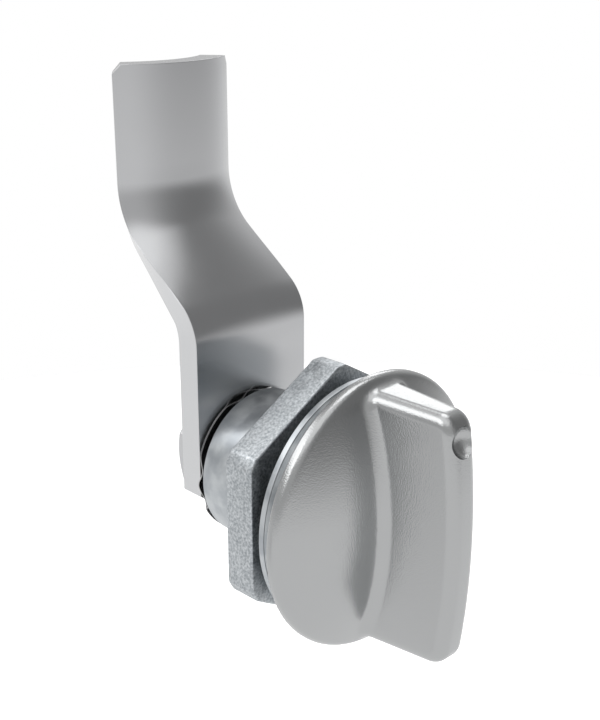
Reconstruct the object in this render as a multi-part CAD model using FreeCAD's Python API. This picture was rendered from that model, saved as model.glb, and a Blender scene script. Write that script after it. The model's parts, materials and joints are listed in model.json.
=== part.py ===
import FreeCAD, Part
import math
import os
from FreeCAD import Vector

# Quarter-turn cam latch with a wing knob, for a sheet metal door. All sizes are in millimetres.
# The latch turns about the Y axis. The knob faces -Y, the inside of the cabinet is +Y, and the
# cam points up, +Z. The origin is on the axis, in the plane of the flange's rear face, which
# sits on the outside of the door panel.

# Fits
running_gap = 0.05        # radial play of the turning spindle in its bore
seat_gap = 0.02           # play left between pieces that seat on each other
thread_gap = 0.03         # radial play between plain cylinders that stand for mating threads

# Housing: a thin flange with a raised boss in front and a barrel behind
flange_radius = 16.75
flange_rim = 0.85         # thickness of the flange around the boss
flange_edge = 0.12        # rounding of the flange's outer edges
boss_radius = 14.2
boss_height = 2.4         # from the flange's rear face to the front of the boss
barrel_radius = 10.45
barrel_length = 17.9      # from the flange's rear face to the barrel's end
barrel_chamfer = 0.25
nib_width = 2.4           # cast nib that keys the latch against turning in the panel
nib_height = 1.3
nib_length = 1.4

# Panel seal, a soft ring in a groove in the flange's rear face, drawn as the panel presses it flush
seal_groove_inner = 11.9
seal_groove_outer = 13.9
seal_groove_depth = 1.4

# Quarter-turn stop: a lug under the knob travels in an arc groove in the boss
turn_angle = 90.0
stop_inner = 7.8
stop_outer = 10.4
stop_depth = 1.5
stop_side_gap = 0.2       # play beside, below and at each end of the lug
lug_angle = 32.0

# Wing knob, one casting with its spindle
knob_radius = 18.4
knob_edge = 1.55          # the knob's thickness at its rim, before the rim is rounded
dome_radius = 48.0        # of the knob's front face
rim_rear_round = 0.4
rim_front_round = 1.2
wing_reach = 15.7         # from the knob's rear face to the wing's front edge
wing_root_half = 3.05     # half of the wing's thickness at the crown of the dome
wing_front_half = 2.2     # half of its thickness at the front edge
wing_edge_round = 1.7
wing_root_round = 1.85
wing_end_inset = 1.1      # how far the wing's ends stay inside the knob's rim
wing_end_lean = 0.5       # how far each end leans in on its way to the front edge
wing_front_sag = 1.45     # how far the front edge falls back at its ends
wing_corner = 2.7         # rounding where the front edge meets the ends
dimple_radius = 2.05      # position mark near the top of the wing's front edge
dimple_depth = 1.5
dimple_height = 13.6

# Spindle, seen from the knob to the cam
spindle_radius = 6.0
spindle_square = 9.0      # across the flats of the square that carries the cam
spindle_setback = 0.2     # the square ends this far inside the cam, so that the screw clamps it
spindle_seal_at = 3.0     # where the seal groove starts
spindle_seal_section = 1.7
spindle_seal_play = 0.5   # groove width beyond the ring's section

# Thrust washer between the boss and the knob
thrust_washer_thickness = 0.5
thrust_washer_inner = 10.8
thrust_washer_edge = 0.4  # how far it stays inside the edge of the boss

# Retaining ring that keeps the spindle in the barrel, in a counterbore in the barrel's end
ring_thickness = 1.0
ring_inner = 5.4
ring_outer = 7.6
ring_opening = 5.0
ring_depth = 0.5          # from the barrel's end to the ring
counterbore_radius = 8.2
ring_axial_play = 0.1

# Hexagon nut behind the panel
nut_flats = 32.0
nut_corner_radius = 18.0
nut_thickness = 4.6
panel_space = 2.05        # from the flange to the nut
nut_chamfer = 0.5

# Wave washer between the barrel's end and the cam. It lies flat on the cam, with pairs of crests
# that reach the barrel's end.
wave_space = 0.95         # from the barrel's end to the cam
wave_pairs = 4
wave_sheet = 0.15         # thickness of its spring steel
wave_inner = 8.45
wave_outer = 10.35
wave_middle = 5.0         # degrees from +X, where the middle of a pair stands
wave_crest_at = 12.0      # degrees from a pair's middle to its crests
wave_slope = 13.0         # degrees from a crest down to the flat length

# Cam, a cranked strip whose tip is curved across its width
cam_width = 19.85
cam_thickness = 3.6
cam_bottom = 9.0          # from the axis down to the cam's lower edge
cam_corner_drop = 2.7     # from the axis down to where the lower corners are cut
cam_corner_angle = 38.0   # slope of those cuts below the horizontal
cam_crank_start = 18.44   # height where the lower bend begins
cam_crank_end = 38.1      # height where the upper bend ends
cam_crank_offset = 11.85
cam_bend_radius = 8.5     # at the face towards the panel
cam_tip_height = 53.6
cam_tip_radius = 15.4     # of the curved tip's front face
cam_tip_chamfer_x = 0.9
cam_tip_chamfer_z = 1.2

# Fixing screw, M8 with a hexagon head
screw_radius = 4.0
screw_length = 12.0
screw_flats = 13.0
screw_head = 5.3
screw_head_turn = 4.0     # degrees that the head happens to stand turned by
screw_hole_extra = 1.5    # the tapped hole is this much deeper than the screw reaches

# Places along the axis that follow from the sizes above
boss_front = -boss_height
knob_rear = boss_front - thrust_washer_thickness
dome_drop = dome_radius - math.sqrt(dome_radius ** 2 - knob_radius ** 2)
crown_front = knob_rear - knob_edge - dome_drop
wing_front = knob_rear - wing_reach
wing_end_root = knob_radius - wing_end_inset
wing_end_front = wing_end_root - wing_end_lean
cam_front = barrel_length + wave_space
cam_rear = cam_front + cam_thickness
square_end = cam_rear - spindle_setback
bore_radius = spindle_radius + running_gap
ring_front = barrel_length - ring_depth - ring_thickness
counterbore_floor = ring_front - ring_axial_play
nut_front = panel_space

AXIS = Vector(0, 1, 0)
ORIGIN = Vector(0, 0, 0)


def along(y):
    """The point on the turning axis at y."""
    return Vector(0, y, 0)


def cylinder(radius, start, end):
    """A round bar on the axis from start to end."""
    return Part.makeCylinder(radius, end - start, along(start), AXIS)


def ring(inner, outer, start, end):
    """A round sleeve on the axis from start to end."""
    return cylinder(outer, start, end).cut(cylinder(inner, start - 1, end + 1))


def sector(inner, outer, start, end, middle_angle, width_angle):
    """A piece of a sleeve. Angles are in degrees from +X towards +Z."""
    piece = ring(inner, outer, start, end)
    reach = 3 * outer
    half = math.radians(width_angle) / 2
    middle = math.radians(middle_angle)
    steps = [middle - half, middle - half / 2, middle, middle + half / 2, middle + half]
    corners = [along(start - 1)]
    corners += [Vector(reach * math.cos(a), start - 1, reach * math.sin(a)) for a in steps]
    wedge = Part.Face(Part.makePolygon(corners + corners[:1])).extrude(Vector(0, end - start + 2, 0))
    return piece.common(wedge)


def hexagon(flats, start, end, turn):
    """A hexagonal bar on the axis with one corner up, then turned by a few degrees."""
    corner = flats / math.sqrt(3)
    points = []
    for k in range(7):
        angle = math.radians(90 + 60 * k + turn)
        points.append(Vector(corner * math.cos(angle), start, corner * math.sin(angle)))
    return Part.Face(Part.makePolygon(points)).extrude(Vector(0, end - start, 0))


def turned(points):
    """A solid turned about the axis from an outline of (radius, y) points."""
    outline = [Vector(radius, y, 0) for radius, y in points]
    return Part.Face(Part.makePolygon(outline + outline[:1])).revolve(ORIGIN, AXIS, 360)


def circles_at(shape, radius, y):
    """The round edges of a shape with this radius in the plane at y."""
    found = []
    for edge in shape.Edges:
        if edge.Degenerated or not isinstance(edge.Curve, Part.Circle):
            continue
        curve = edge.Curve
        if abs(curve.Radius - radius) < 1e-4 and abs(curve.Center.y - y) < 1e-4:
            found.append(edge)
    return found


def make_housing():
    body = turned([(0, boss_front), (boss_radius, boss_front), (boss_radius, -flange_rim),
                   (flange_radius, -flange_rim), (flange_radius, 0), (barrel_radius, 0),
                   (barrel_radius, barrel_length - barrel_chamfer),
                   (barrel_radius - barrel_chamfer, barrel_length), (0, barrel_length)])
    edges = circles_at(body, flange_radius, 0) + circles_at(body, flange_radius, -flange_rim)
    body = body.makeFillet(flange_edge, edges)
    body = body.cut(cylinder(bore_radius, boss_front - 1, barrel_length + 1))
    body = body.cut(cylinder(counterbore_radius, counterbore_floor, barrel_length + 1))
    body = body.cut(ring(seal_groove_inner, seal_groove_outer, -seal_groove_depth, 1))
    body = body.cut(sector(stop_inner, stop_outer, boss_front - 1, boss_front + stop_depth,
                           90, turn_angle + lug_angle + 2 * lug_end_angle()))
    nib_start = barrel_radius - nib_height
    nib = Part.makeBox(nib_width, nib_length + flange_rim / 2, 2 * nib_height,
                       Vector(-nib_width / 2, -flange_rim / 2, -nib_start - 2 * nib_height))
    return body.fuse(nib).removeSplitter()


def lug_end_angle():
    """The play at each end of the stop groove, in degrees at the lug's mean radius."""
    mean = (stop_inner + stop_outer) / 2
    return math.degrees(stop_side_gap / mean)


def make_knob_disc():
    """A round disc. The dome's arc and the rim's front round are one curve in its outline."""
    dome_centre = crown_front + dome_radius
    round_centre_radius = knob_radius - rim_front_round
    reach = dome_radius - rim_front_round
    meet = math.asin(round_centre_radius / reach)
    round_centre = dome_centre - reach * math.cos(meet)
    halfway = (meet + math.pi / 2) / 2

    def on_dome(angle):
        return Vector(dome_radius * math.sin(angle), dome_centre - dome_radius * math.cos(angle), 0)

    def on_round(angle):
        return Vector(round_centre_radius + rim_front_round * math.sin(angle),
                      round_centre - rim_front_round * math.cos(angle), 0)

    front = Part.Arc(on_dome(0), on_dome(meet / 2), on_dome(meet)).toBSpline()
    rim = Part.Arc(on_dome(meet), on_round(halfway), on_round(math.pi / 2)).toBSpline()
    front.join(rim)
    rest = Part.makePolygon([on_round(math.pi / 2), Vector(knob_radius, knob_rear, 0),
                             along(knob_rear), on_dome(0)])
    outline = Part.Wire([front.toShape()] + rest.Edges)
    disc = Part.Face(outline).revolve(ORIGIN, AXIS, 360)
    return disc.makeFillet(rim_rear_round, circles_at(disc, knob_radius, knob_rear))


def make_wing():
    root = knob_rear - rim_rear_round
    end_y = wing_front + wing_front_sag
    bottom_root = Vector(0, root, -wing_end_root)
    bottom_front = Vector(0, end_y, -wing_end_front)
    top_front = Vector(0, end_y, wing_end_front)
    top_root = Vector(0, root, wing_end_root)
    front = Part.Arc(bottom_front, Vector(0, wing_front, 0), top_front).toShape()
    outline = Part.Wire([Part.makeLine(bottom_root, bottom_front), front,
                         Part.makeLine(top_front, top_root), Part.makeLine(top_root, bottom_root)])
    reach = 2 * wing_root_half
    plate = Part.Face(outline).extrude(Vector(2 * reach, 0, 0))
    plate.translate(Vector(-reach, 0, 0))
    corners = [e for e in plate.Edges if e.BoundBox.XLength > reach
               and abs(e.BoundBox.YMin - end_y) < 1e-4]
    plate = plate.makeFillet(wing_corner, corners)
    draft = (wing_root_half - wing_front_half) / (crown_front - wing_front)
    root_half = wing_root_half + draft * (root - crown_front)
    tip_half = wing_front_half - draft
    points = [Vector(-root_half, root, 0), Vector(root_half, root, 0),
              Vector(tip_half, wing_front - 1, 0), Vector(-tip_half, wing_front - 1, 0)]
    height = 2 * wing_end_root + 2
    wedge = Part.Face(Part.makePolygon(points + points[:1])).extrude(Vector(0, 0, height))
    wedge.translate(Vector(0, 0, -height / 2))
    wing = plate.common(wedge)
    rounded = [e for e in wing.Edges if e.BoundBox.YMin < root - 0.01
               and e.BoundBox.XLength < wing_front_half]
    return wing.makeFillet(wing_edge_round, rounded)


def wing_root_edges(shape):
    """The two long edges where the wing's sides meet the dome."""
    found = []
    for edge in shape.Edges:
        if edge.Degenerated:
            continue
        box = edge.BoundBox
        middle = edge.valueAt((edge.FirstParameter + edge.LastParameter) / 2)
        if box.ZLength > wing_end_root and abs(middle.y - crown_front) < 0.5 \
                and abs(abs(middle.x) - wing_root_half) < 0.5:
            found.append(edge)
    return found


def make_spindle():
    """The round and square lengths behind the knob, without the tapped hole."""
    spindle = cylinder(spindle_radius, knob_rear - 1, cam_front)
    half = spindle_square / 2
    square = Part.makeBox(spindle_square, square_end - cam_front + 1, spindle_square,
                          Vector(-half, cam_front - 1, -half))
    spindle = spindle.fuse(square.common(cylinder(spindle_radius, cam_front - 1, square_end)))
    groove_width = spindle_seal_section + spindle_seal_play
    spindle = spindle.cut(ring(seal_floor_radius(), spindle_radius + 1, spindle_seal_at,
                               spindle_seal_at + groove_width))
    return spindle.cut(ring(ring_inner - seat_gap, spindle_radius + 1, ring_front - seat_gap,
                            ring_front + ring_thickness + seat_gap))


def seal_floor_radius():
    """The floor of the spindle's seal groove, which leaves room for the ring in the bore."""
    return bore_radius - spindle_seal_section - 2 * seat_gap


def make_wing_knob():
    knob = make_knob_disc().fuse(make_wing())
    knob = knob.makeFillet(wing_root_round, wing_root_edges(knob))
    ball_radius = (dimple_radius ** 2 + dimple_depth ** 2) / (2 * dimple_depth)
    front_radius = (wing_end_front ** 2 + wing_front_sag ** 2) / (2 * wing_front_sag)
    surface = wing_front + front_radius - math.sqrt(front_radius ** 2 - dimple_height ** 2)
    ball = Part.makeSphere(ball_radius, Vector(0, surface + dimple_depth - ball_radius, dimple_height))
    knob = knob.cut(ball)
    lug = sector(stop_inner + stop_side_gap, stop_outer - stop_side_gap, knob_rear - 0.5,
                 boss_front + stop_depth - stop_side_gap, 90 + turn_angle / 2, lug_angle)
    knob = knob.fuse([lug, make_spindle()])
    hole_end = cam_rear - screw_length - screw_hole_extra
    return knob.cut(cylinder(screw_radius, hole_end, square_end + 1)).removeSplitter()


def make_thrust_washer():
    return ring(thrust_washer_inner, boss_radius - thrust_washer_edge, knob_rear, boss_front)


def make_spindle_seal():
    section_radius = spindle_seal_section / 2
    middle = spindle_seal_at + (spindle_seal_section + spindle_seal_play) / 2
    return Part.makeTorus(seal_floor_radius() + seat_gap + section_radius, section_radius,
                          along(middle), AXIS)


def make_flange_seal():
    """A ring that fills the groove's width but for a little play, with rounded edges."""
    seal = ring(seal_groove_inner + seat_gap, seal_groove_outer - seat_gap,
                -seal_groove_depth + seat_gap, 0)
    round_radius = seal_groove_depth / 4
    return seal.makeFillet(round_radius, circles_at(seal, seal_groove_inner + seat_gap, 0)
                           + circles_at(seal, seal_groove_outer - seat_gap, 0))


def make_retaining_ring():
    body = ring(ring_inner, ring_outer, ring_front, ring_front + ring_thickness)
    opening = Part.makeBox(ring_opening, ring_thickness + 2, 2 * ring_outer,
                           Vector(-ring_opening / 2, ring_front - 1, -2 * ring_outer))
    return body.cut(opening)


def make_hex_nut():
    rear = nut_front + nut_thickness
    nut = hexagon(nut_flats, nut_front, rear, 0).common(cylinder(nut_corner_radius, nut_front, rear))
    hole = barrel_radius + thread_gap
    nut = nut.cut(cylinder(hole, nut_front - 1, rear + 1))
    return nut.makeChamfer(nut_chamfer, circles_at(nut, hole, nut_front) + circles_at(nut, hole, rear))


def wave_level(place):
    """Where the wave washer stands at a place in degrees: 1 on the cam, -1 on the barrel's end."""
    period = 360 / wave_pairs
    from_middle = abs((place - wave_middle + period / 2) % period - period / 2)
    if from_middle > wave_crest_at + wave_slope:
        return 1.0
    if from_middle > wave_crest_at:
        return -math.cos(math.pi * (from_middle - wave_crest_at) / wave_slope)
    return math.cos(math.pi * from_middle / wave_crest_at)


def wave_curve(radius, middle, height):
    """A closed wavy ring line."""
    points_a_pair = 36
    total = wave_pairs * points_a_pair
    points = []
    for k in range(total):
        place = wave_middle + 360 * k / total
        angle = math.radians(place)
        y = middle + height * wave_level(place)
        points.append(Vector(radius * math.cos(angle), y, radius * math.sin(angle)))
    curve = Part.BSplineCurve()
    curve.interpolate(Points=points, PeriodicFlag=True)
    return curve.toShape()


def make_wave_washer():
    """A thin wavy ring that fills the space between the barrel's end and the cam."""
    front, rear = barrel_length + seat_gap, cam_front - seat_gap
    height = (rear - front - wave_sheet) / 2
    low, high = front + height, rear - height
    inner_low = wave_curve(wave_inner, low, height)
    outer_low = wave_curve(wave_outer, low, height)
    inner_high = wave_curve(wave_inner, high, height)
    outer_high = wave_curve(wave_outer, high, height)
    pairs = [(inner_low, outer_low), (inner_high, outer_high),
             (inner_low, inner_high), (outer_low, outer_high)]
    faces = [Part.makeRuledSurface(a, b) for a, b in pairs]
    shell = Part.makeShell(faces)
    shell.sewShape()
    solid = Part.makeSolid(shell)
    if solid.Volume < 0:
        solid.reverse()
    return solid


def crank_angle():
    """The slope of the cranked length, from the offset, the height and the bend radius."""
    rise = cam_crank_end - cam_crank_start
    bends = 2 * cam_bend_radius
    low, high = 0.0, math.pi / 2
    for _ in range(60):
        angle = (low + high) / 2
        straight = (cam_crank_offset - bends * (1 - math.cos(angle))) / math.sin(angle)
        height = bends * math.sin(angle) + straight * math.cos(angle)
        if height > rise:
            low = angle
        else:
            high = angle
    return angle


def crank_station(share):
    """Centre point, direction across the thickness and curl of the strip at a share of the crank.

    The path runs along the strip's front face: a bend, a straight slope and a second bend.
    The curl is the half angle of the strip's curve across its width, which grows from flat.
    """
    angle = crank_angle()
    straight = (cam_crank_offset - 2 * cam_bend_radius * (1 - math.cos(angle))) / math.sin(angle)
    bend = cam_bend_radius * angle
    run = share * (2 * bend + straight)
    if run <= bend:
        tilt = run / cam_bend_radius
        y = cam_bend_radius * (1 - math.cos(tilt))
        z = cam_bend_radius * math.sin(tilt)
    elif run <= bend + straight:
        tilt = angle
        y = cam_bend_radius * (1 - math.cos(angle)) + (run - bend) * math.sin(angle)
        z = cam_bend_radius * math.sin(angle) + (run - bend) * math.cos(angle)
    else:
        tilt = (2 * bend + straight - run) / cam_bend_radius
        y = cam_crank_offset - cam_bend_radius * (1 - math.cos(tilt))
        z = cam_crank_end - cam_crank_start - cam_bend_radius * math.sin(tilt)
    centre = Vector(0, cam_front + y, cam_crank_start + z)
    across = Vector(0, math.cos(tilt), -math.sin(tilt))
    full_curl = math.asin(cam_width / 2 / cam_tip_radius)
    growth = share * share * (3 - 2 * share)
    return centre, across, full_curl * growth


def strip_section(centre, across, curl):
    """The poles of the strip's section: its front arc, then its rear arc, each a cubic curve."""
    half_curl = math.tan(curl / 2)
    arm = cam_width / (3 * math.cos(curl / 2) ** 2)
    fall = cam_width / 2 * half_curl
    shorter = cam_thickness * math.sin(curl)
    arcs = []
    for half, sag, length, level in [
            (cam_width / 2, fall, arm, 0),
            (cam_width / 2 - shorter, fall - shorter * half_curl,
             arm - 4 / 3 * cam_thickness * half_curl, cam_thickness)]:
        side, inward = length * math.cos(curl), length * math.sin(curl)
        places = [(-half, sag), (side - half, sag - inward), (half - side, sag - inward), (half, sag)]
        arcs.append([centre + Vector(x, 0, 0) + across * (level + depth) for x, depth in places])
    return arcs


def skin(rows):
    """A smooth face through rows of poles: straight or cubic along each row, cubic across them."""
    shares = [k / (len(rows) - 1) for k in range(len(rows))]
    columns = []
    for column in zip(*rows):
        track = Part.BSplineCurve()
        track.interpolate(Points=list(column), Parameters=shares)
        columns.append(track)
    degree = len(columns) - 1
    surface = Part.BSplineSurface()
    surface.buildFromPolesMultsKnots([track.getPoles() for track in columns],
                                     [degree + 1, degree + 1], columns[0].getMultiplicities(),
                                     [0.0, 1.0], columns[0].getKnots(), False, False, degree, 3)
    return surface.toShape()


def section_face(front, rear):
    """The flat face that closes the strip at one section."""
    curves = []
    for poles in (front, rear[::-1]):
        curve = Part.BezierCurve()
        curve.setPoles(poles)
        curves.append(curve.toShape())
    return Part.Face(Part.Wire([curves[0], Part.makeLine(front[-1], rear[-1]),
                                curves[1], Part.makeLine(rear[0], front[0])]))


def make_cam_crank():
    """The cranked length, skinned over sections from flat to fully curved."""
    stations = 25
    sections = [strip_section(*crank_station(k / (stations - 1))) for k in range(stations)]
    fronts = [front for front, _ in sections]
    rears = [rear for _, rear in sections]
    lefts = [[front[0], rear[0]] for front, rear in sections]
    rights = [[front[-1], rear[-1]] for front, rear in sections]
    faces = [skin(rows) for rows in (fronts, rears, lefts, rights)]
    faces += [section_face(*sections[0]), section_face(*sections[-1])]
    shell = Part.makeShell(faces)
    shell.sewShape()
    solid = Part.makeSolid(shell)
    if solid.Volume < 0:
        solid.reverse()
    return solid


def make_cam_tip(crank):
    """The straight, curved tip: the upper end of the cranked length drawn out, corners cut."""
    end = max(crank.Faces, key=lambda face: face.BoundBox.ZMin)
    tip = end.extrude(Vector(0, 0, cam_tip_height - cam_crank_end))
    half = cam_width / 2
    depth = cam_front + 3 * cam_crank_offset
    for side in (-1, 1):
        inner, outer = side * (half - cam_tip_chamfer_x), side * (half + cam_tip_chamfer_x)
        corner = [Vector(inner, 0, cam_tip_height),
                  Vector(outer, 0, cam_tip_height - 2 * cam_tip_chamfer_z),
                  Vector(outer, 0, cam_tip_height + 1), Vector(inner, 0, cam_tip_height + 1)]
        tip = tip.cut(Part.Face(Part.makePolygon(corner + corner[:1])).extrude(Vector(0, depth, 0)))
    return tip


def make_cam_plate():
    """The flat lower end with its cut corners and the square hole."""
    half = cam_width / 2
    cut = (cam_bottom - cam_corner_drop) / math.tan(math.radians(cam_corner_angle))
    outline = [Vector(half, cam_front, cam_crank_start), Vector(half, cam_front, -cam_corner_drop),
               Vector(half - cut, cam_front, -cam_bottom), Vector(cut - half, cam_front, -cam_bottom),
               Vector(-half, cam_front, -cam_corner_drop), Vector(-half, cam_front, cam_crank_start)]
    plate = Part.Face(Part.makePolygon(outline + outline[:1])).extrude(Vector(0, cam_thickness, 0))
    hole = spindle_square + 2 * seat_gap
    return plate.cut(Part.makeBox(hole, cam_thickness + 2, hole,
                                  Vector(-hole / 2, cam_front - 1, -hole / 2)))


def make_cam():
    crank = make_cam_crank()
    return make_cam_plate().fuse([crank, make_cam_tip(crank)]).removeSplitter()


def make_cam_screw():
    head_end = cam_rear + screw_head
    head = hexagon(screw_flats, cam_rear, head_end, screw_head_turn)
    corner = screw_flats / math.sqrt(3)
    slope = math.tan(math.radians(30))
    face = 0.95 * screw_flats / 2
    cone = turned([(0, cam_rear), (corner + 1, cam_rear),
                   (corner + 1, head_end - (corner + 1 - face) * slope), (face, head_end), (0, head_end)])
    shank = cylinder(screw_radius - thread_gap, cam_rear - screw_length, cam_rear + 1)
    tip_edge = circles_at(shank, screw_radius - thread_gap, cam_rear - screw_length)
    shank = shank.makeChamfer(screw_radius / 5, tip_edge)
    return head.common(cone).fuse(shank).removeSplitter()


os.makedirs("parts", exist_ok=True)
pieces = {
    "housing": make_housing(),
    "wing_knob": make_wing_knob(),
    "thrust_washer": make_thrust_washer(),
    "spindle_seal": make_spindle_seal(),
    "flange_seal": make_flange_seal(),
    "retaining_ring": make_retaining_ring(),
    "hex_nut": make_hex_nut(),
    "wave_washer": make_wave_washer(),
    "cam": make_cam(),
    "cam_screw": make_cam_screw(),
}
for name, shape in pieces.items():
    shape.exportStep("parts/" + name + ".step")
    box = shape.BoundBox
    print(name, "solids", len(shape.Solids), "valid", shape.isValid(), "volume", round(shape.Volume, 2),
          "x", round(box.XMin, 2), round(box.XMax, 2), "y", round(box.YMin, 2), round(box.YMax, 2),
          "z", round(box.ZMin, 2), round(box.ZMax, 2))
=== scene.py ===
import json
import math

import bpy
from mathutils import Matrix, Vector

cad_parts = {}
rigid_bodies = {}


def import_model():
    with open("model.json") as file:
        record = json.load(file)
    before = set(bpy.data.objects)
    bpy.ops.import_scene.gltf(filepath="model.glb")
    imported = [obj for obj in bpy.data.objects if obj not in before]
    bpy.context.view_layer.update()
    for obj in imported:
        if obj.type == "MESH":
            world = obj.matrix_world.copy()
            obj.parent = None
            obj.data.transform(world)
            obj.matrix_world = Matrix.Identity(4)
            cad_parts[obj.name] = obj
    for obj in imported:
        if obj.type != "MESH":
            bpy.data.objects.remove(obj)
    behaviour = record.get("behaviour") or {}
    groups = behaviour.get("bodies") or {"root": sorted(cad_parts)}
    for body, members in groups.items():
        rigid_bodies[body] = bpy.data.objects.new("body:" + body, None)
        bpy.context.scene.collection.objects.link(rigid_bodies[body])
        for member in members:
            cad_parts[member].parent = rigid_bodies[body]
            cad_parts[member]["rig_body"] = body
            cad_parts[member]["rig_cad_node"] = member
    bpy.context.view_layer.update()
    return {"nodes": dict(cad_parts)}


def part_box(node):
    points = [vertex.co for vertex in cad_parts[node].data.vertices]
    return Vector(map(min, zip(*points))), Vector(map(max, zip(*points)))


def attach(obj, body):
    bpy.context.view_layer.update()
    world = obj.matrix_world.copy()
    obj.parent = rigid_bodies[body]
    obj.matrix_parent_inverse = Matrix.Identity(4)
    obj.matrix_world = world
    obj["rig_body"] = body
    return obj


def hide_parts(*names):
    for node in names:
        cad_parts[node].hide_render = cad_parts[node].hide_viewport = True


# A quarter-turn cam latch: wing knob, flanged housing, hexagon nut, wave washer, cranked cam and screw.
# The latch turns about the Y axis, the knob faces -Y and the cam points up.

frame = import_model()

MM = 0.001
ROUND_STEPS = 192         # faces around every turned piece
BEVEL_STEPS = 3           # faces across every broken edge

# The camera stands to the left of the latch and a little above it
CAMERA_AZIMUTH = math.radians(-44.80)
CAMERA_ELEVATION = math.radians(19.55)
CAMERA_DISTANCE = 158.44 * MM
CAMERA_SIDESTEP = -6.84 * MM
CAMERA_LIFT = 18.20 * MM
CAMERA_LENS = 60.74

# Bevelled lip around the front of the housing's flange, which the CAD solid doesn't have
LIP_INNER = 13.9 * MM
LIP_FRONT = -1.25 * MM
LIP_BEVEL = 0.53 * MM
LIP_INSET = 0.02 * MM     # how far it stays inside the flange's edge

# Hexagon nut
NUT_FLATS = 32.0 * MM
NUT_CORNER_RADIUS = 18.0 * MM
NUT_HOLE_RADIUS = 10.48 * MM
NUT_EDGE_ROUND = 0.35 * MM

# Wave washer: pairs of crests reach the barrel's end, and between them it lies flat on the cam
WAVE_PAIRS = 4
WAVE_SHEET = 0.13 * MM
WAVE_INNER = 8.45 * MM
WAVE_OUTER = 10.35 * MM
WAVE_MIDDLE = 5.0         # degrees from +X, where the middle of a pair stands
WAVE_CREST_AT = 12.0
WAVE_SLOPE = 13.0
WAVE_STEPS = 360          # edges around it

# Cam
CAM_THICKNESS = 3.6 * MM
CAM_CORNER_DROP = 2.7 * MM
CAM_CORNER_SLOPE = math.radians(38.0)
CRANK_START = 18.44 * MM
CRANK_END = 38.1 * MM
CRANK_OFFSET = 11.85 * MM
BEND_RADIUS = 8.5 * MM
TIP_RADIUS = 15.4 * MM
TIP_CHAMFER_X = 0.9 * MM
TIP_CHAMFER_Z = 1.2 * MM
CAM_EDGE_ROUND = 0.22 * MM
CAM_HOLE = 9.04 * MM
CAM_FLAT_ROWS = 6         # rows of faces along each flat length
CAM_CRANK_ROWS = 40
CAM_COLUMNS = 32

# Screw
SCREW_FLATS = 13.0 * MM
SCREW_RADIUS = 3.97 * MM
SCREW_HEAD = 5.3 * MM
SCREW_TURN = math.radians(4.0)
SCREW_FACE = 0.95         # the head's flat rear face as a share of its width across the flats
SCREW_CHAMFER = math.radians(30)
SCREW_EDGE_ROUND = 0.12 * MM
SHANK_STEPS = 64

# Studio, where a glow of 1 is white. The floor is white. The walls are grey, and darker around one
# azimuth in degrees: they darken while the cosine of the angle to it goes from the first value of the
# spread to the second. Floor and walls blend between two heights, the z of a direction of length 1.
WALL_GLOW = 0.64
DARK_WALL_AT = 40.0
DARK_WALL_DROP = 0.38
DARK_WALL_SPREAD = (0.36, 1.05)
FLOOR_END = -0.28
FLOOR_END_DROP = 0.1      # how much lower the floor ends below the dark part
WALL_START = 0.12

# A soft box has its azimuth, elevation, half width, half height and half of its soft edge in degrees,
# and its glow. The grey card lies in the floor, which it makes darker.
SOFT_BOXES = [
    (-75, 72, 28, 28, 11, 0.65),
    (-126, 43, 32, 14, 6, 1.6),
    (124, 67, 14, 14, 4, 1.6),
    (127, 25, 8, 8, 3, 2.0),
]
GREY_CARD = (-119, -20, 15, 10, 7, -0.19)

# Table top
FLOOR_LEVEL = -160 * MM
FLOOR_RADIUS = 500 * MM
FLOOR_GLOW = 0.5
FLOOR_STEPS = 96


def deselect_all():
    for thing in bpy.context.selected_objects:
        thing.select_set(False)


def make_active(piece):
    deselect_all()
    piece.select_set(True)
    bpy.context.view_layer.objects.active = piece


def new_piece(name):
    """Name the primitive that was added last and bake its place into its mesh."""
    piece = bpy.context.active_object
    piece.name = name
    piece.data.name = name
    make_active(piece)
    bpy.ops.object.transform_apply(location=True, rotation=True, scale=True)
    return piece


def modify(piece, kind, **settings):
    """Add one modifier, set it and apply it."""
    make_active(piece)
    modifier = piece.modifiers.new(kind.lower(), kind)
    for key, value in settings.items():
        setattr(modifier, key, value)
    bpy.ops.object.modifier_apply(modifier=modifier.name)


def combine(piece, tool, operation):
    """Cut, intersect or join the piece with a tool, which is then removed."""
    modify(piece, "BOOLEAN", object=tool, operation=operation, solver="EXACT")
    bpy.data.objects.remove(tool)


def join(piece, others):
    make_active(piece)
    for other in others:
        other.select_set(True)
    bpy.ops.object.join()


def tidy_mesh(piece, angle=32.0):
    """Merge doubles, turn the faces outwards and smooth all edges below an angle in degrees."""
    make_active(piece)
    bpy.ops.object.mode_set(mode="EDIT")
    bpy.ops.mesh.select_all(action="SELECT")
    bpy.ops.mesh.remove_doubles(threshold=0.001 * MM)
    bpy.ops.mesh.normals_make_consistent(inside=False)
    bpy.ops.object.mode_set(mode="OBJECT")
    bpy.ops.object.shade_smooth_by_angle(angle=math.radians(angle))


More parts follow.
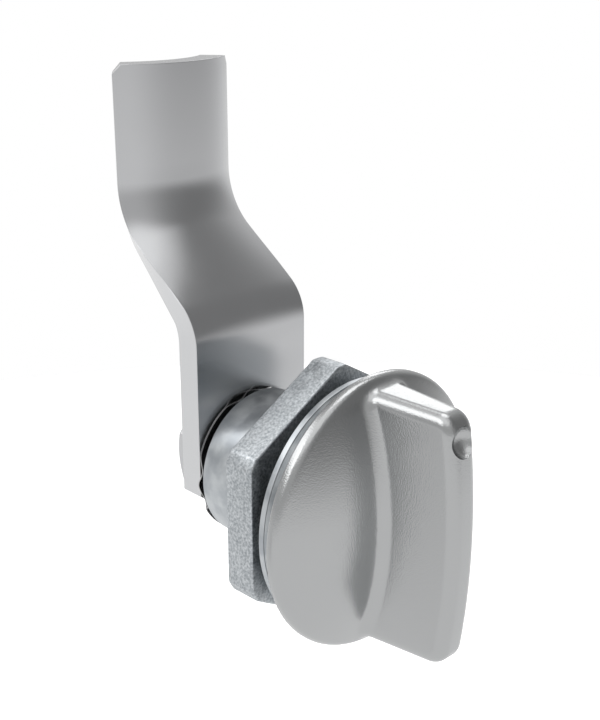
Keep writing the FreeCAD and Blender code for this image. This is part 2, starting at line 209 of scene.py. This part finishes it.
def turn_about_axis(name, outline, closed=False):
    """Extrude an outline of (radius, y) points from one vertex and spin it about the Y axis.

    An open outline starts and ends on the axis. A closed one is a ring's section.
    """
    bpy.ops.mesh.primitive_plane_add(size=MM)
    piece = new_piece(name)
    bpy.ops.object.mode_set(mode="EDIT")
    bpy.ops.mesh.select_all(action="SELECT")
    bpy.ops.mesh.merge(type="CENTER")
    bpy.ops.transform.translate(value=(outline[0][0], outline[0][1], 0))
    last = outline[0]
    points = outline[1:] + (outline[:1] if closed else [])
    for radius, y in points:
        step = (radius - last[0], y - last[1], 0)
        bpy.ops.mesh.extrude_vertices_move(TRANSFORM_OT_translate={"value": step})
        last = (radius, y)
    bpy.ops.mesh.select_all(action="SELECT")
    bpy.ops.mesh.spin(steps=ROUND_STEPS, angle=2 * math.pi, center=(0, 0, 0), axis=(0, 1, 0))
    bpy.ops.object.mode_set(mode="OBJECT")
    tidy_mesh(piece)
    return piece


def smooth_copy(node, name, angle=32.0):
    """A merged copy of a CAD node, shown in its place with smooth shading."""
    source = frame["nodes"][node]
    piece = source.copy()
    piece.data = source.data.copy()
    piece.name = name
    piece.data.name = name
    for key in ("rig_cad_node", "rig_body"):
        if key in piece:
            del piece[key]
    piece.parent = None
    bpy.context.collection.objects.link(piece)
    make_active(piece)
    bpy.ops.mesh.customdata_custom_splitnormals_clear()
    tidy_mesh(piece, angle)
    return piece


def make_knob():
    piece = smooth_copy("wing_knob", "knob_casting", 40.0)
    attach(piece, "latch_rotor")
    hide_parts("wing_knob")
    return piece


def make_housing():
    piece = smooth_copy("housing", "housing_casting", 30.0)
    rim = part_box("housing")[1].x - LIP_INSET
    section = [(LIP_INNER, LIP_FRONT / 2), (LIP_INNER, LIP_FRONT), (rim - LIP_BEVEL, LIP_FRONT),
               (rim, LIP_FRONT + LIP_BEVEL), (rim, LIP_FRONT / 2)]
    combine(piece, turn_about_axis("flange_lip", section, closed=True), "UNION")
    tidy_mesh(piece, 30.0)
    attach(piece, "latch_base")
    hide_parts("housing")
    return piece


def make_nut():
    low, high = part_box("hex_nut")
    thickness = high.y - low.y
    middle = (low.y + high.y) / 2
    bpy.ops.mesh.primitive_cylinder_add(vertices=6, radius=NUT_FLATS / math.sqrt(3), depth=thickness,
                                        location=(0, middle, 0), rotation=(math.pi / 2, 0, 0))
    nut = new_piece("nut")
    corner = max(nut.data.vertices, key=lambda v: v.co.z).co
    turn = math.atan2(corner.x, corner.z)
    nut.data.transform(Matrix.Rotation(-turn, 4, "Y"))
    bpy.ops.mesh.primitive_cylinder_add(vertices=ROUND_STEPS, radius=NUT_CORNER_RADIUS, depth=2 * thickness,
                                        location=(0, middle, 0), rotation=(math.pi / 2, 0, 0))
    combine(nut, new_piece("corner_limit"), "INTERSECT")
    bpy.ops.mesh.primitive_cylinder_add(vertices=ROUND_STEPS, radius=NUT_HOLE_RADIUS, depth=2 * thickness,
                                        location=(0, middle, 0), rotation=(math.pi / 2, 0, 0))
    combine(nut, new_piece("nut_hole"), "DIFFERENCE")
    modify(nut, "BEVEL", width=NUT_EDGE_ROUND, segments=BEVEL_STEPS, limit_method="ANGLE",
           angle_limit=math.radians(20), harden_normals=False)
    tidy_mesh(nut, 30.0)
    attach(nut, "latch_base")
    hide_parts("hex_nut")
    return nut


def wave_level(place):
    """Where the wave washer stands at a place in degrees: 1 on the cam, -1 on the barrel's end."""
    period = 360 / WAVE_PAIRS
    from_middle = abs((place - WAVE_MIDDLE + period / 2) % period - period / 2)
    if from_middle > WAVE_CREST_AT + WAVE_SLOPE:
        return 1.0
    if from_middle > WAVE_CREST_AT:
        return -math.cos(math.pi * (from_middle - WAVE_CREST_AT) / WAVE_SLOPE)
    return math.cos(math.pi * from_middle / WAVE_CREST_AT)


def make_wave_washer():
    low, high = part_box("wave_washer")
    middle = (low.y + high.y) / 2
    height = (high.y - low.y - WAVE_SHEET) / 2
    bpy.ops.mesh.primitive_circle_add(vertices=WAVE_STEPS, radius=WAVE_INNER, location=(0, middle, 0),
                                      rotation=(math.pi / 2, 0, 0))
    washer = new_piece("wave_washer_spring")
    bpy.ops.object.mode_set(mode="EDIT")
    bpy.ops.mesh.select_all(action="SELECT")
    bpy.ops.mesh.extrude_edges_move()
    bpy.ops.transform.resize(value=(WAVE_OUTER / WAVE_INNER, 1, WAVE_OUTER / WAVE_INNER),
                             center_override=(0, middle, 0))
    bpy.ops.object.mode_set(mode="OBJECT")
    for vertex in washer.data.vertices:
        place = math.degrees(math.atan2(vertex.co.z, vertex.co.x))
        vertex.co.y = middle + height * wave_level(place)
    modify(washer, "SOLIDIFY", thickness=WAVE_SHEET, offset=0)
    tidy_mesh(washer, 40.0)
    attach(washer, "latch_base")
    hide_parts("wave_washer")
    return washer


def crank_slope():
    """The slope of the cranked length, found by halving."""
    rise = CRANK_END - CRANK_START
    low, high = 0.0, math.pi / 2
    for _ in range(50):
        slope = (low + high) / 2
        straight = (CRANK_OFFSET - 2 * BEND_RADIUS * (1 - math.cos(slope))) / math.sin(slope)
        if 2 * BEND_RADIUS * math.sin(slope) + straight * math.cos(slope) > rise:
            low = slope
        else:
            high = slope
    return slope


def crank_place(share, slope):
    """The crank's place, tilt and curl at a share of its length: two bends about a straight run."""
    straight = (CRANK_OFFSET - 2 * BEND_RADIUS * (1 - math.cos(slope))) / math.sin(slope)
    bend = BEND_RADIUS * slope
    run = share * (2 * bend + straight)
    if run <= bend:
        tilt = run / BEND_RADIUS
        y = BEND_RADIUS * (1 - math.cos(tilt))
        z = BEND_RADIUS * math.sin(tilt)
    elif run <= bend + straight:
        tilt = slope
        y = BEND_RADIUS * (1 - math.cos(slope)) + (run - bend) * math.sin(slope)
        z = BEND_RADIUS * math.sin(slope) + (run - bend) * math.cos(slope)
    else:
        tilt = (2 * bend + straight - run) / BEND_RADIUS
        y = CRANK_OFFSET - BEND_RADIUS * (1 - math.cos(tilt))
        z = CRANK_END - CRANK_START - BEND_RADIUS * math.sin(tilt)
    return y, CRANK_START + z, tilt, share * share * (3 - 2 * share)


def make_cam():
    low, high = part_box("cam")
    half = (high.x - low.x) / 2
    slope = crank_slope()
    full_curl = math.asin(half / TIP_RADIUS)
    corner_cut = (-CAM_CORNER_DROP - low.z) / math.tan(CAM_CORNER_SLOPE)
    foot_step = (CRANK_START + CAM_CORNER_DROP) / CAM_FLAT_ROWS
    tip_step = (high.z - TIP_CHAMFER_Z - CRANK_END) / CAM_FLAT_ROWS
    tip_y = low.y + CRANK_OFFSET
    # Each row across the strip has its y, z, tilt, curl and half width, from the bottom up
    rows = [(low.y, low.z, 0.0, 0.0, half - corner_cut)]
    rows += [(low.y, -CAM_CORNER_DROP + k * foot_step, 0.0, 0.0, half) for k in range(CAM_FLAT_ROWS)]
    for k in range(CAM_CRANK_ROWS + 1):
        y, z, tilt, growth = crank_place(k / CAM_CRANK_ROWS, slope)
        rows.append((low.y + y, z, tilt, growth * full_curl, half))
    rows += [(tip_y, CRANK_END + k * tip_step, 0.0, full_curl, half) for k in range(1, CAM_FLAT_ROWS + 1)]
    rows.append((tip_y, high.z, 0.0, full_curl, half - TIP_CHAMFER_X))
    bpy.ops.mesh.primitive_grid_add(x_subdivisions=CAM_COLUMNS, y_subdivisions=len(rows) - 1, size=2,
                                    rotation=(math.pi / 2, 0, 0))
    cam = new_piece("cam_strip")
    for vertex in cam.data.vertices:
        place = round((vertex.co.z + 1) / 2 * (len(rows) - 1))
        y, z, tilt, curl, reach = rows[place]
        x = vertex.co.x * reach
        lift = 0.0
        if curl > 1e-4:
            radius = half / math.sin(curl)
            lift = radius - math.sqrt(radius * radius - x * x)
        vertex.co = (x, y + lift * math.cos(tilt), z - lift * math.sin(tilt))
    modify(cam, "SOLIDIFY", thickness=CAM_THICKNESS, offset=-1.0, use_even_offset=True)
    tidy_mesh(cam, 30.0)
    modify(cam, "BEVEL", width=CAM_EDGE_ROUND, segments=BEVEL_STEPS, limit_method="ANGLE",
           angle_limit=math.radians(35), harden_normals=False)
    bpy.ops.mesh.primitive_cube_add(size=CAM_HOLE, location=(0, low.y + CAM_THICKNESS / 2, 0))
    combine(cam, new_piece("cam_hole"), "DIFFERENCE")
    tidy_mesh(cam, 30.0)
    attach(cam, "latch_rotor")
    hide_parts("cam")
    return cam


def make_screw():
    low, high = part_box("cam_screw")
    head_start = high.y - SCREW_HEAD
    bpy.ops.mesh.primitive_cylinder_add(vertices=6, radius=SCREW_FLATS / math.sqrt(3), depth=SCREW_HEAD,
                                        location=(0, head_start + SCREW_HEAD / 2, 0),
                                        rotation=(math.pi / 2, 0, 0))
    screw = new_piece("screw")
    corner = max(screw.data.vertices, key=lambda v: v.co.z).co
    screw.data.transform(Matrix.Rotation(-math.atan2(corner.x, corner.z) - SCREW_TURN, 4, "Y"))
    face = SCREW_FACE * SCREW_FLATS / 2
    reach = SCREW_FLATS
    chamfer_y = high.y - (reach - face) * math.tan(SCREW_CHAMFER)
    limit = turn_about_axis("head_limit", [(0, head_start - MM), (reach, head_start - MM),
                                           (reach, chamfer_y), (face, high.y), (0, high.y)])
    combine(screw, limit, "INTERSECT")
    modify(screw, "BEVEL", width=SCREW_EDGE_ROUND, segments=BEVEL_STEPS, limit_method="ANGLE",
           angle_limit=math.radians(25))
    bpy.ops.mesh.primitive_cylinder_add(vertices=SHANK_STEPS, radius=SCREW_RADIUS, depth=head_start - low.y,
                                        location=(0, (head_start + low.y) / 2, 0),
                                        rotation=(math.pi / 2, 0, 0))
    join(screw, [new_piece("shank")])
    tidy_mesh(screw, 30.0)
    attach(screw, "latch_rotor")
    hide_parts("cam_screw")
    return screw


# Finishes

def new_finish(name, colour, metallic, roughness):
    """A material with a plain shader, and its nodes and links for what follows."""
    finish = bpy.data.materials.new(name)
    finish.use_nodes = True
    nodes = finish.node_tree.nodes
    shader = nodes["Principled BSDF"]
    shader.inputs["Base Color"].default_value = (*colour, 1)
    shader.inputs["Metallic"].default_value = metallic
    shader.inputs["Roughness"].default_value = roughness
    return finish, nodes, finish.node_tree.links, shader


def noise(nodes, links, size, detail=2.0, roughness=0.5):
    """Noise on the piece's own coordinates, with features of about this size."""
    place = nodes.new("ShaderNodeTexCoord")
    texture = nodes.new("ShaderNodeTexNoise")
    texture.inputs["Scale"].default_value = 1 / size
    texture.inputs["Detail"].default_value = detail
    texture.inputs["Roughness"].default_value = roughness
    links.new(place.outputs["Object"], texture.inputs["Vector"])
    return texture.outputs["Fac"]


def spread(nodes, links, value, low, high, start=0.25, end=0.75):
    """Map the middle of a noise to a range of numbers."""
    mapping = nodes.new("ShaderNodeMapRange")
    mapping.interpolation_type = "SMOOTHSTEP"
    mapping.inputs["From Min"].default_value = start
    mapping.inputs["From Max"].default_value = end
    mapping.inputs["To Min"].default_value = low
    mapping.inputs["To Max"].default_value = high
    links.new(value, mapping.inputs["Value"])
    return mapping.outputs["Result"]


def blend_colours(nodes, links, value, first, second):
    mixer = nodes.new("ShaderNodeMix")
    mixer.data_type = "RGBA"
    mixer.inputs[6].default_value = (*first, 1)
    mixer.inputs[7].default_value = (*second, 1)
    links.new(value, mixer.inputs["Factor"])
    return mixer.outputs[2]


def bump(nodes, links, height, shader, strength, depth):
    node = nodes.new("ShaderNodeBump")
    node.inputs["Strength"].default_value = strength
    node.inputs["Distance"].default_value = depth
    links.new(height, node.inputs["Height"])
    links.new(node.outputs["Normal"], shader.inputs["Normal"])


def blasted_steel():
    """The knob's steel, with a fine blasted grain."""
    finish, nodes, links, shader = new_finish("blasted_steel", (0.438, 0.445, 0.448), metallic=1.0,
                                              roughness=0.18)
    grain = noise(nodes, links, size=0.19 * MM, detail=1.0)
    cloud = noise(nodes, links, size=5 * MM)
    links.new(spread(nodes, links, cloud, low=0.18, high=0.22), shader.inputs["Roughness"])
    bump(nodes, links, grain, shader, strength=0.75, depth=0.03 * MM)
    return finish


def zinc_coat():
    """The nut's coat, speckled in a bluish grey."""
    finish, nodes, links, shader = new_finish("zinc_coat", (0.43, 0.455, 0.475), metallic=1.0,
                                              roughness=0.42)
    speck = noise(nodes, links, size=0.35 * MM, detail=4.0, roughness=0.65)
    patch = noise(nodes, links, size=1.4 * MM, detail=3.0)
    share = spread(nodes, links, speck, low=0, high=1, start=0.3, end=0.7)
    colour = blend_colours(nodes, links, share, (0.3, 0.325, 0.345), (0.63, 0.655, 0.675))
    links.new(colour, shader.inputs["Base Color"])
    links.new(spread(nodes, links, patch, low=0.34, high=0.5), shader.inputs["Roughness"])
    bump(nodes, links, speck, shader, strength=0.5, depth=0.03 * MM)
    return finish


def polished_steel():
    """The housing's steel: its bump and roughness give the soft waves of a cast piece, and its lighter and
    darker colour patches are painted cloudy reflections.
    """
    finish, nodes, links, shader = new_finish("polished_steel", (0.43, 0.455, 0.475), metallic=1.0,
                                              roughness=0.34)
    cloud = noise(nodes, links, size=3 * MM, detail=3.0)
    # The lighter and darker patches of colour are painted cloudy reflections
    share = spread(nodes, links, cloud, low=0, high=1, start=0.3, end=0.7)
    colour = blend_colours(nodes, links, share, (0.39, 0.415, 0.44), (0.57, 0.595, 0.61))
    links.new(colour, shader.inputs["Base Color"])
    links.new(spread(nodes, links, cloud, low=0.29, high=0.42), shader.inputs["Roughness"])
    bump(nodes, links, cloud, shader, strength=0.5, depth=0.08 * MM)
    return finish


def satin_steel(name, colour):
    """The steel of the cam and screw, with a very faint grain."""
    finish, nodes, links, shader = new_finish(name, colour, metallic=1.0, roughness=0.22)
    cloud = noise(nodes, links, size=6 * MM)
    links.new(spread(nodes, links, cloud, low=0.22, high=0.26), shader.inputs["Roughness"])
    grain = noise(nodes, links, size=0.3 * MM)
    bump(nodes, links, grain, shader, strength=0.12, depth=0.01 * MM)
    return finish


def spring_steel():
    finish, nodes, links, shader = new_finish("spring_steel", (0.5, 0.5, 0.5), metallic=1.0, roughness=0.2)
    cloud = noise(nodes, links, size=1 * MM)
    links.new(spread(nodes, links, cloud, low=0.15, high=0.25), shader.inputs["Roughness"])
    return finish


def black_rubber():
    finish, nodes, links, shader = new_finish("black_rubber", (0.02, 0.02, 0.021), metallic=0.0,
                                              roughness=0.6)
    grain = noise(nodes, links, size=0.3 * MM)
    links.new(spread(nodes, links, grain, low=0.5, high=0.7), shader.inputs["Roughness"])
    bump(nodes, links, grain, shader, strength=0.1, depth=0.01 * MM)
    return finish


def natural_nylon():
    finish, nodes, links, shader = new_finish("natural_nylon", (0.75, 0.74, 0.7), metallic=0.0,
                                              roughness=0.45)
    cloud = noise(nodes, links, size=2 * MM)
    links.new(spread(nodes, links, cloud, low=0.4, high=0.5), shader.inputs["Roughness"])
    return finish


def cover(piece, finish):
    piece.data.materials.clear()
    piece.data.materials.append(finish)


def cover_sides_with_painted_sheen(piece, finish):
    """Give a strip's sheared sides, which face along X, a lighter copy of its steel: painted sheen, for the
    brighter look the light gives these sides.
    """
    piece.data.materials.append(finish)
    for face in piece.data.polygons:
        if abs(face.normal.x) > 0.8:
            face.material_index = 1


# Camera and light

def make_camera():
    back = Vector((math.sin(CAMERA_AZIMUTH) * math.cos(CAMERA_ELEVATION),
                   -math.cos(CAMERA_AZIMUTH) * math.cos(CAMERA_ELEVATION), math.sin(CAMERA_ELEVATION)))
    right = Vector((0, 0, 1)).cross(back).normalized()
    up = back.cross(right)
    data = bpy.data.cameras.new("camera")
    data.lens = CAMERA_LENS
    data.clip_start = 1 * MM
    data.clip_end = 20
    camera = bpy.data.objects.new("camera", data)
    bpy.context.collection.objects.link(camera)
    turn = Matrix((right, up, back)).transposed().to_4x4()
    place = back * CAMERA_DISTANCE + right * CAMERA_SIDESTEP + up * CAMERA_LIFT
    camera.matrix_world = Matrix.Translation(place) @ turn
    bpy.context.scene.camera = camera


def math_node(nodes, links, operation, first, second=None, third=None):
    node = nodes.new("ShaderNodeMath")
    node.operation = operation
    for place, value in enumerate((first, second, third)):
        if value is None:
            continue
        if isinstance(value, (int, float)):
            node.inputs[place].default_value = value
        else:
            links.new(value, node.inputs[place])
    return node.outputs[0]


def step_between(nodes, links, value, start, end, low, high):
    """A soft step from low to high as the value goes from start to end."""
    mapping = nodes.new("ShaderNodeMapRange")
    mapping.interpolation_type = "SMOOTHSTEP"
    if isinstance(start, float):
        mapping.inputs["From Min"].default_value = start
    else:
        links.new(start, mapping.inputs["From Min"])
    mapping.inputs["From Max"].default_value = end
    mapping.inputs["To Min"].default_value = low
    mapping.inputs["To Max"].default_value = high
    links.new(value, mapping.inputs["Value"])
    return mapping.outputs["Result"]


def direction_to(azimuth, elevation):
    """Azimuth 0 is in front of the knob and 90 to its right, in degrees."""
    a, e = math.radians(azimuth), math.radians(elevation)
    return Vector((math.sin(a) * math.cos(e), -math.cos(a) * math.cos(e), math.sin(e)))


def dot_node(nodes, links, direction, axis):
    node = nodes.new("ShaderNodeVectorMath")
    node.operation = "DOT_PRODUCT"
    links.new(direction, node.inputs[0])
    node.inputs[1].default_value = axis
    return node.outputs["Value"]


def soft_box(nodes, links, direction, azimuth, elevation, half_width, half_height, edge, glow):
    """A soft box in the studio, with its half sizes and the half width of its soft edge in degrees."""
    centre = direction_to(azimuth, elevation)
    right = Vector((0, 0, 1)).cross(centre).normalized()
    up = centre.cross(right)
    along = dot_node(nodes, links, direction, centre)
    inside = math_node(nodes, links, "GREATER_THAN", along, 0.0)
    for axis, half in ((right, half_width), (up, half_height)):
        across = dot_node(nodes, links, direction, axis)
        offset = math_node(nodes, links, "ABSOLUTE", math_node(nodes, links, "DIVIDE", across, along))
        share = step_between(nodes, links, offset, math.tan(math.radians(half + edge)),
                             math.tan(math.radians(max(half - edge, 0.1))), 0.0, 1.0)
        inside = math_node(nodes, links, "MULTIPLY", inside, share)
    return math_node(nodes, links, "MULTIPLY", inside, glow)


def make_world():
    """A studio with a white floor, grey walls that are darkest at the front right, and soft boxes.

    The metal shows this studio. The camera sees plain white in its place.
    """
    world = bpy.data.worlds.new("studio")
    bpy.context.scene.world = world
    world.use_nodes = True
    nodes, links = world.node_tree.nodes, world.node_tree.links
    background = nodes["Background"]
    place = nodes.new("ShaderNodeTexCoord")
    direction = place.outputs["Generated"]
    axes = nodes.new("ShaderNodeSeparateXYZ")
    links.new(direction, axes.inputs[0])
    x, y, z = axes.outputs
    azimuth = math_node(nodes, links, "ARCTAN2", x, math_node(nodes, links, "MULTIPLY", y, -1.0))
    turned = math_node(nodes, links, "SUBTRACT", azimuth, math.radians(DARK_WALL_AT))
    facing = math_node(nodes, links, "COSINE", turned)
    dark = step_between(nodes, links, facing, *DARK_WALL_SPREAD, 0.0, 1.0)
    sky = math_node(nodes, links, "MULTIPLY_ADD", dark, -DARK_WALL_DROP, WALL_GLOW)
    for box in SOFT_BOXES:
        sky = math_node(nodes, links, "ADD", sky, soft_box(nodes, links, direction, *box))
    floor_end = math_node(nodes, links, "MULTIPLY_ADD", dark, -FLOOR_END_DROP, FLOOR_END)
    above = step_between(nodes, links, z, floor_end, WALL_START, 0.0, 1.0)
    difference = math_node(nodes, links, "SUBTRACT", sky, 1.0)
    floor = math_node(nodes, links, "ADD", soft_box(nodes, links, direction, *GREY_CARD), 1.0)
    studio = math_node(nodes, links, "MULTIPLY_ADD", difference, above, floor)
    rays = nodes.new("ShaderNodeLightPath")
    seen = math_node(nodes, links, "SUBTRACT", 1.0, studio)
    strength = math_node(nodes, links, "MULTIPLY_ADD", seen, rays.outputs["Is Camera Ray"], studio)
    links.new(strength, background.inputs["Strength"])
    background.inputs["Color"].default_value = (1, 1, 1, 1)


def make_floor():
    """A round white table top far below the latch. The metal sees the studio's white floor instead."""
    bpy.ops.mesh.primitive_circle_add(vertices=FLOOR_STEPS, radius=FLOOR_RADIUS, fill_type="NGON",
                                      location=(0, 0, FLOOR_LEVEL))
    floor = new_piece("floor")
    finish, nodes, links, shader = new_finish("pale_floor", (0.9, 0.9, 0.9), metallic=0.0, roughness=0.8)
    rays = nodes.new("ShaderNodeLightPath")
    glow = nodes.new("ShaderNodeEmission")
    links.new(math_node(nodes, links, "MULTIPLY", rays.outputs["Is Camera Ray"], FLOOR_GLOW),
              glow.inputs["Strength"])
    both = nodes.new("ShaderNodeAddShader")
    links.new(shader.outputs[0], both.inputs[0])
    links.new(glow.outputs[0], both.inputs[1])
    clear = nodes.new("ShaderNodeBsdfTransparent")
    choice = nodes.new("ShaderNodeMixShader")
    links.new(rays.outputs["Is Glossy Ray"], choice.inputs[0])
    links.new(both.outputs[0], choice.inputs[1])
    links.new(clear.outputs[0], choice.inputs[2])
    links.new(choice.outputs[0], nodes["Material Output"].inputs["Surface"])
    cover(floor, finish)


blasted = blasted_steel()
zinc = zinc_coat()
polished = polished_steel()
satin = satin_steel("satin_steel", (0.535, 0.54, 0.55))
# The same satin steel made lighter, as painted sheen on the cam's sides
painted_sheen_side = satin_steel("painted_sheen_side_steel", (0.64, 0.645, 0.655))
spring = spring_steel()
rubber = black_rubber()
nylon = natural_nylon()

cover(make_knob(), blasted)
cover(make_housing(), polished)
cover(make_nut(), zinc)
cover(make_wave_washer(), spring)
cam = make_cam()
cover(cam, satin)
cover_sides_with_painted_sheen(cam, painted_sheen_side)
cover(make_screw(), satin)
cover(frame["nodes"]["thrust_washer"], nylon)
cover(frame["nodes"]["spindle_seal"], rubber)
cover(frame["nodes"]["flange_seal"], rubber)
cover(frame["nodes"]["retaining_ring"], spring)

make_camera()
make_world()
make_floor()

bpy.context.scene.view_settings.view_transform = "Standard"
